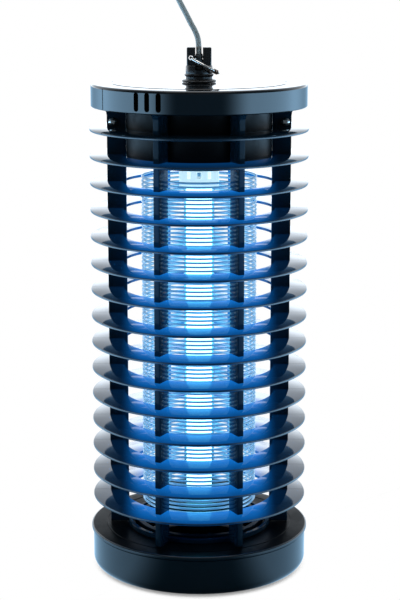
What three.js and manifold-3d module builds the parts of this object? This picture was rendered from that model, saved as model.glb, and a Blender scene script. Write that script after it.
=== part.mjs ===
// Electric bug zapper: a round cage of louvre fins around a high-voltage wire grid and a small
// ultraviolet lamp, with a ballast in the cap, a pull-off collecting tray in the base and a mains
// lead that leaves through the hanger on top. Millimetres, +Z up, front towards -Y, and the origin
// is on the resting surface under the middle of the tray.
import * as THREE from "three";
import { mergeVertices } from "three/addons/utils/BufferGeometryUtils.js";
import Module from "manifold-3d";

const wasm = await Module();
wasm.setup();

// Clearances
const touchGap = 0.3; // between pieces that rest on or beside each other
const fitGap = 0.5; // between the tray and what plugs into it

// Overall sizes
const capRadius = 65;
const finRadius = 66;
const deckRadius = 67.5;
const trayRadius = 66.4;
const roundSides = 30; // flats round each large ring

// Feet and collecting tray
const footHeight = 0.9;
const footRadius = 6;
const footCircle = 46;
const footCount = 3;
const trayHeight = 22.4;
const trayWall = 2.2;
const trayEdgeRound = 5;

// Deck over the tray
const deckThickness = 2.4;
const deckOpeningRadius = 40;
const spigotWall = 2.2;
const spigotDepth = 7;
const spokeWidth = 8;
const spokeCount = 3;
const hubRadius = 15;

// Cage of fins and ribs
const finCount = 15;
const finPitch = 16.27;
const finThickness = 1.6;
const finInnerRadius = 46;
const lowestFinGap = 18.9; // deck to the lowest fin
const capGap = 14.42; // highest fin to the cap
const ribThickness = 3.6;
const ribInnerRadius = 44;
const ribOuterRadius = 55.5;
const frontRibSpread = 26.5; // degrees either side of the front and of the back
const gussetSize = 4.5;

// Cap
const capHeight = 14;
const capWall = 2;
const capTopThickness = 2.2;
const capEdgeBevel = 1;
const ventWidth = 3.2;
const ventHeight = 11;
const ventPitch = 6.35; // degrees
const ventMiddle = 27.15; // degrees left of the front
const ventCount = 3;
const capScrewCount = 3;
const capScrewCircle = 53;
const capColumnRadius = 4;

// Ballast housing under the cap
const housingDepth = 31.4;
const housingRadius = ribInnerRadius - touchGap;
const housingWall = 2;
const housingHoleRadius = 14.8; // the upper lamp holder stands up through it
const housingFlangeThickness = 2;
const standoffHeight = 5;
const standoffRadius = 3;
const standoffCircle = 31;

// Electronics
const boardRadius = 36;
const boardThickness = 1.6;
const chokeSize = [28, 24, 19];
const capacitorRadius = 6;
const capacitorHeight = 17;

// Lamp and its holders
const lampRadius = 7.8;
const lampWall = 1;
const lampCapLength = 7;
const lampPinLength = 7;
const lampPinRadius = 1.2;
const lampPinSpacing = 4.75;
const lampEndGap = 7.1; // the lamp's upper end to the housing
const platformRadius = 30;
const platformThickness = 3;
const stemRadius = 13;
const socketDepth = 7.9;
const lowerHolderHeight = 10;
const upperHolderHeight = 12;
const holderLength = 24;
const holderWidth = 15;
const pinSlotClearance = 0.5;

// Wire grid
const gridRadius = 34.5;
const gridWire = 1.4;
const busWidth = 2.4;
const busThickness = 1.2;
const busAngles = [105, 75];
const gridWireCount = 12; // the two electrodes take turns
const gridSides = 16;
const lowestWireGap = 15.7; // deck to the first wire
const highestWireGap = 10; // last wire to the housing
const gridPlateThickness = 3;
const lowerPlateWidth = 3.8;
const upperPlateWidth = 8;
const gridPostRadius = 1.6;
const gridPostAngles = [90, 232.6, 307.4];

// Hanger, ring and cord exit
const flangeRadius = 10.3;
const flangeThickness = 1.3;
const barrelRadius = 8;
const barrelHeight = 10.3; // above the cap
const barrelRidge = 0.8;
const spigotRadius = 6.5; // the threaded stem below the flange
const stemLength = 8;
const nutRadius = 11;
const nutHeight = 5;
const lugWidth = 14.8;
const lugDepth = 5;
const lugHeight = 20.8; // above the cap
const lugSlot = 4.5;
const reliefFootRadius = 3.2;
const reliefTipRadius = 1.9;
const reliefStandProud = 1.2;
const ringRadius = 9.3;
const ringWireRadius = 0.8;
const ringPivotX = -4.9;
const ringPivotHeight = 14.6; // above the cap
const ringRestAngle = 28.5; // degrees below level
const ringHoleRadius = 1.35;

// Cage screws
const screwHeadRadius = 2.6;
const screwHeadHeight = 1.5;
const screwShankRadius = 1.4;
const screwHeightFromEnd = 9.5;
const screwRadiusOnPost = 51.8;

// Mains lead
const cordRadius = 1.7;
const cordSides = 8;
const cordStep = 9; // spacing of the sections along the cord
const coilMiddle = [-162, -40];
const coilMiddleRadius = 19.5;
const coilHalfWidth = 5;
const coilBottom = 1;
const coilTop = 9.6;
const tieWidth = 5;
const tieThickness = 0.7;
const plugLength = 35;
const plugHalfWidth = 12.6;
const plugThickness = 13;
const plugNeckHalfWidth = 3.2;
const pinRadius = 2;
const pinLength = 19;
const pinSpacing = 18.6;

// Heights that follow from the sizes above
const trayBottom = footHeight + touchGap;
const trayTop = trayBottom + trayHeight;
const deckBottom = trayTop + touchGap;
const deckTop = deckBottom + deckThickness;
const lowestFin = deckTop + lowestFinGap;
const highestFin = lowestFin + (finCount - 1) * finPitch;
const capBottom = highestFin + capGap;
const capTop = capBottom + capHeight;
const housingBottom = capBottom - housingDepth;
const lowerHolderBottom = deckTop + touchGap;
const lampBottom = lowerHolderBottom + lowerHolderHeight + touchGap;
const lampTop = housingBottom - lampEndGap;
const upperHolderBottom = lampTop + touchGap;
const lowerPlateBottom = deckTop + touchGap;
const upperPlateBottom = housingBottom - touchGap - gridPlateThickness;
const boardBottom = housingBottom + housingWall + standoffHeight + touchGap;
const ringPivotZ = capTop + ringPivotHeight;

// The stretch of the lead that isn't coiled, point by point
const cordRoute = [
  [-0.3, 0, 324.2], [-0.9, 0, 328], [-2.6, 0, 332.2], [-4.9, 0, 336.3], [-7.7, 0, 341.8],
  [-10.8, 0, 347.6], [-16.5, 0.5, 358], [-26, 1.5, 369.5], [-39, 3, 379.5], [-54, 5, 385.5],
  [-70, 7.5, 387], [-86, 10, 384], [-101, 12.5, 376.5], [-114, 15, 365], [-124.5, 17, 350],
  [-132, 18.5, 332], [-137, 19.5, 311], [-139.5, 20.3, 286], [-140.5, 21, 258],
  [-141, 21.5, 228], [-141.2, 22, 196], [-141.3, 22.3, 164], [-141.4, 22.6, 132],
  [-141.5, 22.8, 102], [-141.6, 22.6, 76], [-141.7, 21.4, 54], [-141.8, 18, 36],
  [-142, 11.5, 21], [-142.2, 3, 11], [-142.4, -7, 6.4], [-142.5, -15, 5.4], [-142.5, -22.6, 5.3],
];
const plugEntry = [-168, 14.3, 6.5];

function materialOf(color, roughness, metalness) {
  return new THREE.MeshStandardMaterial({ color, roughness, metalness });
}

const blackPlastic = [0x0b0f12, 0.18, 0];
const mattBlack = [0x14181a, 0.5, 0];
const greyLead = [0x7a8280, 0.5, 0];
const brightWire = [0xc9ccce, 0.25, 1];
const whitePlastic = [0xe6e6df, 0.5, 0];
const lampGlass = [0xbfe8ff, 0.15, 0];
const greenBoard = [0x1d5a36, 0.6, 0];
const darkRubber = [0x1b1c1d, 0.85, 0];

// A geometry as one closed surface with shared corners and its faces pointing out
function closedSurface(source) {
  const bare = source.index ? source.toNonIndexed() : source.clone();
  for (const name of Object.keys(bare.attributes)) {
    if (name !== "position") {
      bare.deleteAttribute(name);
    }
  }
  const merged = mergeVertices(bare, 1e-4);
  const corners = merged.index.array;
  const place = merged.attributes.position;
  const kept = [];
  let volume = 0;
  const a = new THREE.Vector3();
  const b = new THREE.Vector3();
  const c = new THREE.Vector3();
  for (let i = 0; i < corners.length; i += 3) {
    const [p, q, r] = [corners[i], corners[i + 1], corners[i + 2]];
    if (p === q || q === r || r === p) {
      continue;
    }
    kept.push(p, q, r);
    a.fromBufferAttribute(place, p);
    b.fromBufferAttribute(place, q);
    c.fromBufferAttribute(place, r);
    volume += a.dot(b.cross(c));
  }
  if (volume < 0) {
    kept.reverse();
  }
  const result = new THREE.BufferGeometry();
  result.setAttribute("position", place);
  result.setIndex(kept);
  return result;
}

function toManifold(geometry) {
  const surface = closedSurface(geometry);
  const vertProperties = new Float32Array(surface.attributes.position.array);
  const triVerts = new Uint32Array(surface.index.array);
  return new wasm.Manifold(new wasm.Mesh({ numProp: 3, vertProperties, triVerts }));
}

function fromManifold(solid) {
  const mesh = solid.getMesh();
  const geometry = new THREE.BufferGeometry();
  geometry.setAttribute("position", new THREE.BufferAttribute(mesh.vertProperties, 3));
  geometry.setIndex(new THREE.BufferAttribute(mesh.triVerts, 1));
  return geometry;
}

function joined(first, ...others) {
  let solid = toManifold(first);
  for (const other of others) {
    solid = solid.add(toManifold(other));
  }
  return fromManifold(solid);
}

function cut(first, ...others) {
  let solid = toManifold(first);
  for (const other of others) {
    solid = solid.subtract(toManifold(other));
  }
  return fromManifold(solid);
}

// A profile of [radius, height] pairs turned about the upright axis
function turned(profile, sides = roundSides) {
  const points = profile.map(([r, z]) => new THREE.Vector2(r, z));
  return new THREE.LatheGeometry(points, sides).rotateX(Math.PI / 2);
}

// A ring with a flat-sided section between two radii and two heights
function flatRing(inner, outer, bottom, top, sides = roundSides) {
  const loop = [[inner, bottom], [outer, bottom], [outer, top], [inner, top], [inner, bottom]];
  return turned(loop, sides);
}

function disc(radius, bottom, top, sides = 24) {
  return turned([[0, bottom], [radius, bottom], [radius, top], [0, top]], sides);
}

function block([width, depth, height], [x, y, bottom]) {
  return new THREE.BoxGeometry(width, depth, height).translate(x, y, bottom + height / 2);
}

function onCircle(radius, degrees) {
  const angle = THREE.MathUtils.degToRad(degrees);
  return [radius * Math.cos(angle), radius * Math.sin(angle)];
}

function arcPoints(radius, from, to, steps) {
  const points = [];
  for (let i = 0; i <= steps; i += 1) {
    points.push(new THREE.Vector2(...onCircle(radius, from + ((to - from) * i) / steps)));
  }
  return points;
}

function extruded(shape, depth) {
  return new THREE.ExtrudeGeometry(shape, { depth, bevelEnabled: false, curveSegments: 6 });
}

function swept(route, radius, sides) {
  const curve = new THREE.CatmullRomCurve3(route.map((p) => new THREE.Vector3(...p)));
  const section = new THREE.Shape(arcPoints(radius, 0, 360 - 360 / sides, sides - 1));
  const steps = Math.round(curve.getLength() / cordStep);
  return new THREE.ExtrudeGeometry(section, { steps, extrudePath: curve, bevelEnabled: false });
}

const zapper = new THREE.Group();

function addPiece(parent, name, geometry, finish) {
  const mesh = new THREE.Mesh(closedSurface(geometry), materialOf(...finish));
  mesh.name = name;
  parent.add(mesh);
  return mesh;
}

// Feet and tray come off together
function addTray() {
  const tray = new THREE.Group();
  tray.position.z = trayBottom;
  zapper.add(tray);
  const inner = trayRadius - trayWall;
  const profile = [[0, 0]];
  for (const point of arcPoints(trayEdgeRound, -90, 0, 3)) {
    profile.push([trayRadius - trayEdgeRound + point.x, trayEdgeRound + point.y]);
  }
  profile.push([trayRadius, trayHeight], [inner, trayHeight], [inner, trayEdgeRound]);
  profile.push([inner - trayEdgeRound + trayWall, trayWall], [0, trayWall]);
  addPiece(tray, "collecting_tray", turned(profile), blackPlastic);
  for (let i = 0; i < footCount; i += 1) {
    const [x, y] = onCircle(footCircle, 90 + (i * 360) / footCount);
    const foot = addPiece(tray, `foot_${i + 1}`, disc(footRadius, 0, footHeight, 16), darkRubber);
    foot.position.set(x, y, -trayBottom);
  }
}

function addDeck() {
  const spigotOuter = trayRadius - trayWall - fitGap;
  const spigotInner = spigotOuter - spigotWall;
  const plate = turned([
    [deckOpeningRadius, 0], [spigotInner, 0], [spigotInner, -spigotDepth],
    [spigotOuter, -spigotDepth], [spigotOuter, 0], [deckRadius, 0],
    [deckRadius, deckThickness], [deckOpeningRadius, deckThickness], [deckOpeningRadius, 0],
  ]);
  const spokes = [];
  const reach = deckOpeningRadius + 1;
  for (let i = 0; i < spokeCount; i += 1) {
    const spoke = block([reach, spokeWidth, deckThickness], [reach / 2, 0, 0]);
    spokes.push(spoke.rotateZ(THREE.MathUtils.degToRad(90 + (i * 360) / spokeCount)));
  }
  const deck = joined(plate, disc(hubRadius, 0, deckThickness), ...spokes);
  addPiece(zapper, "base_deck", deck, blackPlastic).position.z = deckBottom;
}

// Rib directions in degrees from +X: two side posts, a pair in front and a pair behind
const ribAngles = [
  0, 90 - frontRibSpread, 90 + frontRibSpread, 180, 270 - frontRibSpread, 270 + frontRibSpread,
];

function finOpening() {
  const half = ribThickness / 2 + touchGap;
  const notchRadius = ribOuterRadius + touchGap;
  const onEdge = Math.sqrt(finInnerRadius ** 2 - half ** 2);
  const halfAngle = THREE.MathUtils.radToDeg(Math.asin(half / finInnerRadius));
  const points = [];
  ribAngles.forEach((angle, i) => {
    const next = (ribAngles[i + 1] ?? 360) - halfAngle;
    const turn = THREE.MathUtils.degToRad(angle);
    const corners = [[onEdge, -half], [notchRadius, -half], [notchRadius, half]];
    for (const [x, y] of corners) {
      points.push(new THREE.Vector2(x, y).rotateAround(new THREE.Vector2(), turn));
    }
    points.push(...arcPoints(finInnerRadius, angle + halfAngle, next, 4).slice(0, 4));
  });
  return new THREE.Path(points);
}

function addFins() {
  const outline = new THREE.Shape(arcPoints(finRadius, 0, 360 - 360 / roundSides, roundSides - 1));
  outline.holes.push(finOpening());
  const geometry = extruded(outline, finThickness);
  for (let i = 0; i < finCount; i += 1) {
    const name = `fin_${String(i + 1).padStart(2, "0")}`;
    addPiece(zapper, name, geometry, blackPlastic).position.z = lowestFin + i * finPitch;
  }
}

function ribOutline(withHoles) {
  const bottom = deckTop + touchGap;
  const top = capBottom - touchGap;
  const shape = new THREE.Shape([
    new THREE.Vector2(ribInnerRadius, bottom),
    new THREE.Vector2(ribOuterRadius, bottom),
    new THREE.Vector2(ribOuterRadius, top - gussetSize * 1.2),
    new THREE.Vector2(ribOuterRadius + gussetSize, top),
    new THREE.Vector2(ribInnerRadius, top),
  ]);
  if (withHoles) {
    for (const z of screwHeights()) {
      const hole = arcPoints(screwShankRadius + touchGap, 0, 315, 7);
      shape.holes.push(
        new THREE.Path(hole.map((p) => p.add(new THREE.Vector2(screwRadiusOnPost, z)))),
      );
    }
  }
  return shape;
}

function screwHeights() {
  return [deckTop + screwHeightFromEnd, capBottom - screwHeightFromEnd];
}

function addRibs() {
  ribAngles.forEach((angle, i) => {
    const isPost = angle % 180 === 0;
    const plate = extruded(ribOutline(isPost), ribThickness).translate(0, 0, -ribThickness / 2);
    const name = isPost ? `side_post_${angle ? "left" : "right"}` : `cage_rib_${i}`;
    const rib = addPiece(zapper, name, plate.rotateX(Math.PI / 2), blackPlastic);
    rib.rotation.z = THREE.MathUtils.degToRad(angle);
  });
}

function addCageScrews() {
  const length = ribThickness + 1;
  const profile = [
    [0, 0], [screwHeadRadius, 0], [screwHeadRadius, -screwHeadHeight * 0.6],
    [screwHeadRadius * 0.6, -screwHeadHeight], [0, -screwHeadHeight],
  ];
  const head = turned(profile, 12);
  const screw = joined(head, disc(screwShankRadius, -0.2, length, 8)).rotateX(-Math.PI / 2);
  const names = ["lower", "upper"];
  for (const side of [-1, 1]) {
    screwHeights().forEach((z, i) => {
      const name = `cage_screw_${side < 0 ? "left" : "right"}_${names[i]}`;
      const piece = addPiece(zapper, name, screw, brightWire);
      piece.position.set(side * screwRadiusOnPost, -ribThickness / 2 - touchGap, z);
    });
  }
}

function ventShape() {
  const half = ventWidth / 2;
  const reach = ventHeight / 2 - half;
  const ends = [...arcPoints(half, 0, 180, 4).map((p) => p.add(new THREE.Vector2(0, reach)))];
  ends.push(...arcPoints(half, 180, 360, 4).map((p) => p.add(new THREE.Vector2(0, -reach))));
  return new THREE.Shape(ends);
}

function addCap() {
  const inner = capRadius - capWall;
  const ceiling = capHeight - capTopThickness;
  const bore = spigotRadius + touchGap;
  const shell = turned([
    [bore, capHeight], [capRadius - capEdgeBevel, capHeight], [capRadius, capHeight - capEdgeBevel],
    [capRadius, 0], [inner, 0], [inner, ceiling], [bore, ceiling], [bore, capHeight],
  ]);
  const columns = [];
  const holes = [];
  const columnBottom = housingFlangeThickness + touchGap * 2;
  for (let i = 0; i < capScrewCount; i += 1) {
    const [x, y] = onCircle(capScrewCircle, 90 + (i * 360) / capScrewCount);
    const column = disc(capColumnRadius, columnBottom, ceiling + 0.5, 12);
    columns.push(column.translate(x, y, 0));
    const hole = disc(screwShankRadius + touchGap, columnBottom - 1, ceiling - 1, 8);
    holes.push(hole.translate(x, y, 0));
  }
  for (let i = 0; i < ventCount; i += 1) {
    const degrees = -ventMiddle + (i - (ventCount - 1) / 2) * ventPitch;
    const vent = extruded(ventShape(), 4 * capWall).rotateX(Math.PI / 2);
    vent.translate(0, -capRadius + 3 * capWall, capHeight / 2);
    holes.push(vent.rotateZ(THREE.MathUtils.degToRad(degrees)));
  }
  const cap = cut(joined(shell, ...columns), ...holes);
  addPiece(zapper, "top_cap", cap, blackPlastic).position.z = capBottom;
}

function addHousing() {
  const flangeOuter = capRadius - capWall - touchGap;
  const flangeTop = housingDepth + housingFlangeThickness;
  const inner = housingRadius - housingWall;
  const cup = turned([
    [0, 0], [housingRadius, 0], [housingRadius, housingDepth], [flangeOuter, housingDepth],
    [flangeOuter, flangeTop], [inner, flangeTop], [inner, housingWall], [0, housingWall],
  ]);
  const standoffs = [];
  const holes = [];
  for (let i = 0; i < capScrewCount; i += 1) {
    const [x, y] = onCircle(standoffCircle, 30 + (i * 360) / capScrewCount);
    const top = housingWall + standoffHeight;
    standoffs.push(disc(standoffRadius, housingWall - 0.5, top, 8).translate(x, y, 0));
    const [u, v] = onCircle(capScrewCircle, 90 + (i * 360) / capScrewCount);
    const hole = disc(screwShankRadius + touchGap, housingDepth - 1, flangeTop + 1, 8);
    holes.push(hole.translate(u, v, 0));
  }
  holes.push(disc(housingHoleRadius, -1, housingWall + 1));
  const housing = cut(joined(cup, ...standoffs), ...holes);
  addPiece(zapper, "ballast_housing", housing, blackPlastic).position.z = housingBottom;
  const head = disc(screwHeadRadius, -screwHeadHeight, 0, 10);
  const screw = joined(head, disc(screwShankRadius, -0.2, capHeight * 0.6, 8));
  for (let i = 0; i < capScrewCount; i += 1) {
    const [x, y] = onCircle(capScrewCircle, 90 + (i * 360) / capScrewCount);
    const piece = addPiece(zapper, `cap_screw_${i + 1}`, screw, brightWire);
    piece.position.set(x, y, capBottom - touchGap);
  }
}

function addElectronics() {
  const board = new THREE.Group();
  board.position.z = boardBottom;
  zapper.add(board);
  const above = boardThickness + touchGap;
  addPiece(board, "circuit_board", disc(boardRadius, 0, boardThickness), greenBoard);
  addPiece(board, "ballast_choke", block(chokeSize, [-12, 0, above]), mattBlack);
  const can = disc(capacitorRadius, above, above + capacitorHeight, 12).translate(18, 14, 0);
  addPiece(board, "smoothing_capacitor", can, mattBlack);
}

function addLamp() {
  const lamp = new THREE.Group();
  lamp.position.z = lampBottom;
  zapper.add(lamp);
  const length = lampTop - lampBottom;
  const glassBottom = lampCapLength + touchGap;
  const glass = flatRing(lampRadius - lampWall, lampRadius, glassBottom, length - glassBottom, 20);
  addPiece(lamp, "lamp_tube", glass, lampGlass);
  const pins = [-1, 1].map((side) =>
    disc(lampPinRadius, -lampPinLength, 1, 8).translate((side * lampPinSpacing) / 2, 0, 0),
  );
  const end = joined(disc(lampRadius, 0, lampCapLength, 20), ...pins);
  addPiece(lamp, "lamp_end_lower", end, brightWire);
  const upper = addPiece(lamp, "lamp_end_upper", end, brightWire);
  upper.position.z = length;
  upper.rotation.x = Math.PI;
}

// The lower holder is a round platform on a stem; the upper one is a block
function addLampHolders() {
  const slotLength = lampPinSpacing + 2 * lampPinRadius + 2 * pinSlotClearance;
  const slotWidth = 2 * lampPinRadius + 2 * pinSlotClearance;
  const depth = lampPinLength + pinSlotClearance;
  const bore = lampRadius + fitGap;
  const rim = lowerHolderHeight + socketDepth;
  const platform = turned([
    [0, 0], [stemRadius, 0], [stemRadius, rim - platformThickness],
    [platformRadius, rim - platformThickness], [platformRadius, rim], [bore, rim],
    [bore, lowerHolderHeight], [0, lowerHolderHeight],
  ]);
  const lowerSlot = block([slotLength, slotWidth, depth + 1], [0, 0, lowerHolderHeight - depth]);
  const lower = addPiece(zapper, "lamp_holder_lower", cut(platform, lowerSlot), blackPlastic);
  lower.position.z = lowerHolderBottom;
  const body = block([holderLength, holderWidth, upperHolderHeight], [0, 0, 0]);
  const upperSlot = block([slotLength, slotWidth, depth + 1], [0, 0, -1]);
  const upper = addPiece(zapper, "lamp_holder_upper", cut(body, upperSlot), whitePlastic);
  upper.position.z = upperHolderBottom;
}

const gridPostCircle = gridRadius + gridWire / 2 + gridPostRadius + 2 * touchGap;
const gridBottom = lowerPlateBottom + gridPlateThickness;

// One electrode: every second ring of wire, tied together by an upright strip inside them
function electrode(first, busAngle) {
  const lowest = deckTop + lowestWireGap;
  const spacing = (housingBottom - highestWireGap - lowest) / (gridWireCount - 1);
  const half = gridWire / 2;
  const innerFlat = (gridRadius - half) * Math.cos(Math.PI / gridSides);
  const busRadius = innerFlat - touchGap - busThickness / 2;
  const rings = [];
  const stubs = [];
  for (let i = first; i < gridWireCount; i += 2) {
    const z = lowest + i * spacing;
    rings.push(flatRing(gridRadius - half, gridRadius + half, z - half, z + half, gridSides));
    const reach = gridRadius - busRadius;
    const stub = block([reach, gridWire * 0.8, gridWire * 0.8], [0, 0, z - gridWire * 0.4]);
    stub.translate(busRadius + reach / 2, 0, 0);
    stubs.push(stub.rotateZ(THREE.MathUtils.degToRad(busAngle)));
  }
  const height = upperPlateBottom - touchGap - gridBottom - touchGap;
  const bus = block([busThickness, busWidth, height], [busRadius, 0, gridBottom + touchGap]);
  bus.rotateZ(THREE.MathUtils.degToRad(busAngle));
  return joined(bus, ...rings, ...stubs);
}

function addGrid() {
  addPiece(zapper, "grid_electrode_a", electrode(0, busAngles[0]), brightWire);
  addPiece(zapper, "grid_electrode_b", electrode(1, busAngles[1]), brightWire);
  const outer = gridPostCircle + gridPostRadius + touchGap;
  const lower = flatRing(outer - lowerPlateWidth, outer, 0, gridPlateThickness, 24);
  addPiece(zapper, "grid_plate_lower", lower, blackPlastic).position.z = lowerPlateBottom;
  const upper = flatRing(outer - upperPlateWidth, outer, 0, gridPlateThickness, 24);
  addPiece(zapper, "grid_plate_upper", upper, blackPlastic).position.z = upperPlateBottom;
  const bottom = gridBottom + touchGap;
  const post = disc(gridPostRadius, 0, upperPlateBottom - touchGap - bottom, 8);
  gridPostAngles.forEach((angle, i) => {
    const [x, y] = onCircle(gridPostCircle, angle);
    addPiece(zapper, `grid_post_${i + 1}`, post, blackPlastic).position.set(x, y, bottom);
  });
}

// The hanger: a stem through the cap, a round barrel and a slotted lug for the ring and the cord
function hangerBody() {
  const ridgeZ = barrelHeight * 0.42;
  const bore = reliefFootRadius + touchGap;
  const barrel = turned([
    [0, -stemLength], [spigotRadius, -stemLength], [spigotRadius, touchGap],
    [flangeRadius, touchGap], [flangeRadius, touchGap + flangeThickness],
    [barrelRadius, touchGap + flangeThickness], [barrelRadius, ridgeZ - barrelRidge],
    [barrelRadius + barrelRidge, ridgeZ], [barrelRadius, ridgeZ + barrelRidge],
    [barrelRadius, barrelHeight], [0, barrelHeight],
  ], 24);
  const lug = block([lugWidth, lugDepth, lugHeight - barrelHeight + 1], [0, 0, barrelHeight - 1]);
  const slot = block([lugSlot, 3 * barrelRadius, lugHeight], [0, 0, barrelHeight * 0.72]);
  const boreDepth = stemLength + barrelHeight;
  const passage = disc(bore, -stemLength - 1, boreDepth - stemLength, 12);
  const hole = new THREE.CylinderGeometry(ringHoleRadius, ringHoleRadius, 2 * lugDepth, 16);
  hole.translate(ringPivotX, 0, ringPivotHeight);
  return cut(joined(barrel, lug), slot, passage, hole);
}

function addHanger() {
  const hanger = new THREE.Group();
  hanger.position.z = capTop;
  zapper.add(hanger);
  addPiece(hanger, "hanger_boss", hangerBody(), blackPlastic);
  const nutTop = -capTopThickness - touchGap;
  const nutBore = disc(spigotRadius + touchGap, nutTop - 2 * nutHeight, 0, 24);
  const hexagon = disc(nutRadius, nutTop - nutHeight, nutTop, 6);
  addPiece(hanger, "hanger_nut", cut(hexagon, nutBore), mattBlack);
  const top = lugHeight + reliefStandProud;
  const relief = turned([
    [0, -stemLength], [reliefFootRadius, -stemLength], [reliefFootRadius, barrelHeight * 0.5],
    [reliefTipRadius, barrelHeight], [reliefTipRadius, top], [0, top],
  ], 12);
  addPiece(hanger, "strain_relief", relief, mattBlack);
}

function addRing() {
  const pivot = new THREE.Group();
  pivot.position.set(ringPivotX, 0, ringPivotZ);
  pivot.rotation.y = THREE.MathUtils.degToRad(ringRestAngle);
  zapper.add(pivot);
  const wire = new THREE.TorusGeometry(ringRadius, ringWireRadius, 8, 28);
  addPiece(pivot, "hanging_ring", wire.translate(ringRadius, 0, 0), brightWire);
}

function addCord() {
  addPiece(zapper, "mains_cord", swept(cordRoute, cordRadius, cordSides), greyLead);
  const middle = (coilBottom + coilTop) / 2;
  const half = (coilTop - coilBottom) / 2;
  const section = arcPoints(1, 0, 360, 8).map(({ x, y }) => [
    coilMiddleRadius + coilHalfWidth * x, middle + half * y,
  ]);
  const coil = addPiece(zapper, "cord_coil", turned(section, 24), greyLead);
  coil.position.set(...coilMiddle, 0);
  const slack = 4 * touchGap;
  const outer = [tieWidth, 2 * (coilHalfWidth + slack), coilTop + slack];
  const clear = touchGap + tieThickness;
  const inner = [2 * tieWidth, outer[1] - 2 * tieThickness, outer[2] - 2 * tieThickness];
  const band = cut(block(outer, [0, 0, 0]), block(inner, [0, 0, clear - touchGap]));
  const tie = addPiece(zapper, "coil_tie", band, darkRubber);
  tie.position.set(coilMiddle[0], coilMiddle[1] - coilMiddleRadius, 0);
}

function addPlug() {
  const plug = new THREE.Group();
  plug.position.set(...plugEntry);
  zapper.add(plug);
  const neck = plugNeckHalfWidth;
  const outline = new THREE.Shape([
    new THREE.Vector2(-neck, 0), new THREE.Vector2(neck, 0), new THREE.Vector2(neck * 1.5, 9),
    new THREE.Vector2(plugHalfWidth, 21), new THREE.Vector2(plugHalfWidth, plugLength),
    new THREE.Vector2(-plugHalfWidth, plugLength), new THREE.Vector2(-plugHalfWidth, 21),
    new THREE.Vector2(-neck * 1.5, 9),
  ]);
  const body = extruded(outline, plugThickness).translate(0, 0, -plugThickness / 2);
  addPiece(plug, "plug_body", body, mattBlack);
  for (const side of [-1, 1]) {
    const pin = new THREE.CylinderGeometry(pinRadius, pinRadius, pinLength, 12);
    const piece = addPiece(plug, `plug_pin_${side < 0 ? 1 : 2}`, pin, brightWire);
    piece.position.set((side * pinSpacing) / 2, plugLength + touchGap + pinLength / 2, 0);
  }
}

addTray();
addDeck();
addFins();
addRibs();
addCageScrews();
addCap();
addHousing();
addElectronics();
addLamp();
addLampHolders();
addGrid();
addHanger();
addRing();
addCord();
addPlug();

export default zapper;
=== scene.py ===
import math

import bmesh
import bpy
from mathutils import Matrix, Vector


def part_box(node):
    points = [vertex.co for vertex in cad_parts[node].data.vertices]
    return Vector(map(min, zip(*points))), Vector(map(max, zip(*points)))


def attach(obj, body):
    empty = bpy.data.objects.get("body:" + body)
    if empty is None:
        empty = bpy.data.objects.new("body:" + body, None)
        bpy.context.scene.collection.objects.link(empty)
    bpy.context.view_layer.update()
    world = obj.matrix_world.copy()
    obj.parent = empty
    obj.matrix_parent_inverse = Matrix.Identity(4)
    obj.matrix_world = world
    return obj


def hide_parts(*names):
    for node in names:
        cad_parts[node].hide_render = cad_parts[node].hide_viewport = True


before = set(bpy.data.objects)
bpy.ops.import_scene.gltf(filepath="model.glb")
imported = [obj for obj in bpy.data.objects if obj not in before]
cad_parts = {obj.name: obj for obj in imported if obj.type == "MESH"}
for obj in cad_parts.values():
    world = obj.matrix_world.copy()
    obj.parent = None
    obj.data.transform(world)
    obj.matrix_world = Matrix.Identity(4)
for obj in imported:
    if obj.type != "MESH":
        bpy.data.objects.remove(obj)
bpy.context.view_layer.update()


def boxOf(node):
    # the two corners of a CAD node's box, in millimetres
    low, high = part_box(node)
    return Vector(low) * 1000, Vector(high) * 1000


def zOf(node, end):
    # height of a CAD node's bottom (0) or top (1), in millimetres
    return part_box(node)[end][2] * 1000


def turnAbout(points, degrees):
    spin = Matrix.Rotation(math.radians(degrees), 3, "Z")
    return [spin @ Vector(p) for p in points]


def addWire(bm, points, closed=True):
    # points are (x, y, z) in millimetres
    verts = [bm.verts.new(Vector(p) / 1000) for p in points]
    pairs = list(zip(verts, verts[1:]))
    if closed:
        pairs.append((verts[-1], verts[0]))
    edges = [bm.edges.new(pair) for pair in pairs]
    return verts, edges


def spinProfile(bm, profile, steps=96, sweep=360, start=0, closed=False, solid=False):
    # profile is (radius, height) in millimetres, turned about the upright axis
    points = turnAbout([(r, 0, z) for r, z in profile], start)
    verts, edges = addWire(bm, points, closed)
    geom = verts + edges
    if solid:
        geom = geom + [bm.faces.new(verts)]
    bmesh.ops.spin(bm, geom=geom, cent=(0, 0, 0), axis=(0, 0, 1), angle=math.radians(sweep),
                   steps=steps, use_merge=sweep == 360, use_normal_flip=False)


def arc(cx, cz, r, start, end, steps):
    turns = [math.radians(start + (end - start) * i / steps) for i in range(steps + 1)]
    return [(cx + r * math.cos(a), cz + r * math.sin(a)) for a in turns]


def growFace(bm, verts, reach):
    # the face between the verts grows into a solid
    grown = bmesh.ops.extrude_face_region(bm, geom=[bm.faces.new(verts)])
    moved = [v for v in grown["geom"] if isinstance(v, bmesh.types.BMVert)]
    bmesh.ops.translate(bm, verts=moved, vec=reach)
    return moved


def turned(profile, steps=96, closed=False):
    bm = bmesh.new()
    spinProfile(bm, profile, steps, closed=closed)
    return bm


def addPlate(bm, outline, thickness):
    # outline is flat in the XZ plane; the plate is centred on it and grows along Y
    half = thickness / 2
    verts = [bm.verts.new(Vector((x, -half, z)) / 1000) for x, z in outline]
    return verts + growFace(bm, verts, (0, thickness / 1000, 0))


def softenEdges(bm, edges, offset, segments=2):
    bmesh.ops.bevel(bm, geom=list(edges), offset=offset / 1000, offset_type="OFFSET",
                    segments=segments, profile=0.5, affect="EDGES", clamp_overlap=True, material=-1)


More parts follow.
